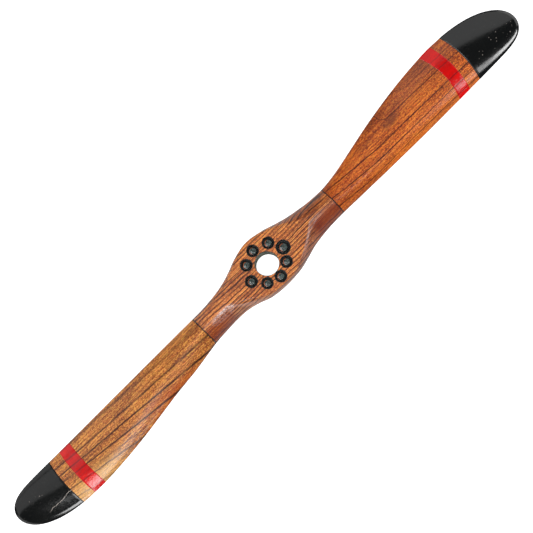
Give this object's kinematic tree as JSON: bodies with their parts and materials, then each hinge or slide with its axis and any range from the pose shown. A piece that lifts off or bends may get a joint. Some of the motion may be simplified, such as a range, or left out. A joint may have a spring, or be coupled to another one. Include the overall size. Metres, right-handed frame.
{
  "type": "decorative wooden propeller",
  "caption": "Carved wooden aircraft propeller for display: a bored hub with a ring of false bolts, twisted screw-on blades, black tips and red bands.",
  "frame": {"origin": "centre of the shaft bore on the hub's back face, which is also the middle of the bottom of the whole propeller as it lies on its back", "axes": "+X along the span to the right blade, +Y across the span, +Z along the shaft bore and out of the front face"},
  "size_m": [1.2, 0.1273, 0.038],
  "materials": {
    "hub_wood": "varnished, open grain with fine dark lines",
    "left_blade_wood": "varnished, open grain with dark growth lines",
    "right_blade_wood": "varnished, open grain with dark growth lines",
    "black_paint": "hand-brushed gloss black paint",
    "red_paint": "hand-brushed gloss red paint, thin over the grain",
    "plug_paint": "gloss black-green paint, rubbed at the rim",
    "stud_steel": "zinc plated thread",
    "insert_brass": "turned brass"
  },
  "bodies": {
    "hub": {"hub": "hub_wood", "bore_paint": "black_paint", "bolt_plug_1": "plug_paint", "bolt_plug_2": "plug_paint", "bolt_plug_3": "plug_paint", "bolt_plug_4": "plug_paint", "bolt_plug_5": "plug_paint", "bolt_plug_6": "plug_paint", "bolt_plug_7": "plug_paint", "bolt_plug_8": "plug_paint", "left_hub_insert": "insert_brass", "right_hub_insert": "insert_brass"},
    "left_stud": {"left_stud": "stud_steel"},
    "right_stud": {"right_stud": "stud_steel"},
    "left_blade": {"left_blade": "left_blade_wood", "left_blade_insert": "insert_brass", "left_stripe_paint": "red_paint", "left_tip_paint": "black_paint"},
    "right_blade": {"right_blade": "right_blade_wood", "right_blade_insert": "insert_brass", "right_stripe_paint": "red_paint", "right_tip_paint": "black_paint"}
  },
  "joints": [
    {"name": "left_stud_travel", "type": "slide", "parent": "hub", "child": "left_stud", "axis": [-1, 0, 0], "range_m": [0, 0.027]},
    {"name": "left_blade_turn", "type": "hinge", "parent": "left_stud", "child": "left_blade", "pos_m": [-0.155, 0, 0.015], "axis": [-1, 0, 0], "range_deg": [0, 6480]},
    {"name": "right_stud_travel", "type": "slide", "parent": "hub", "child": "right_stud", "axis": [1, 0, 0], "range_m": [0, 0.027]},
    {"name": "right_blade_turn", "type": "hinge", "parent": "right_stud", "child": "right_blade", "pos_m": [0.155, 0, 0.015], "axis": [1, 0, 0], "range_deg": [0, 6480]}
  ],
  "couplings": [
    {"joint": "left_stud_travel", "follows": "left_blade_turn", "m_per_rad": 0.00023873},
    {"joint": "right_stud_travel", "follows": "right_blade_turn", "m_per_rad": 0.00023873}
  ]
}
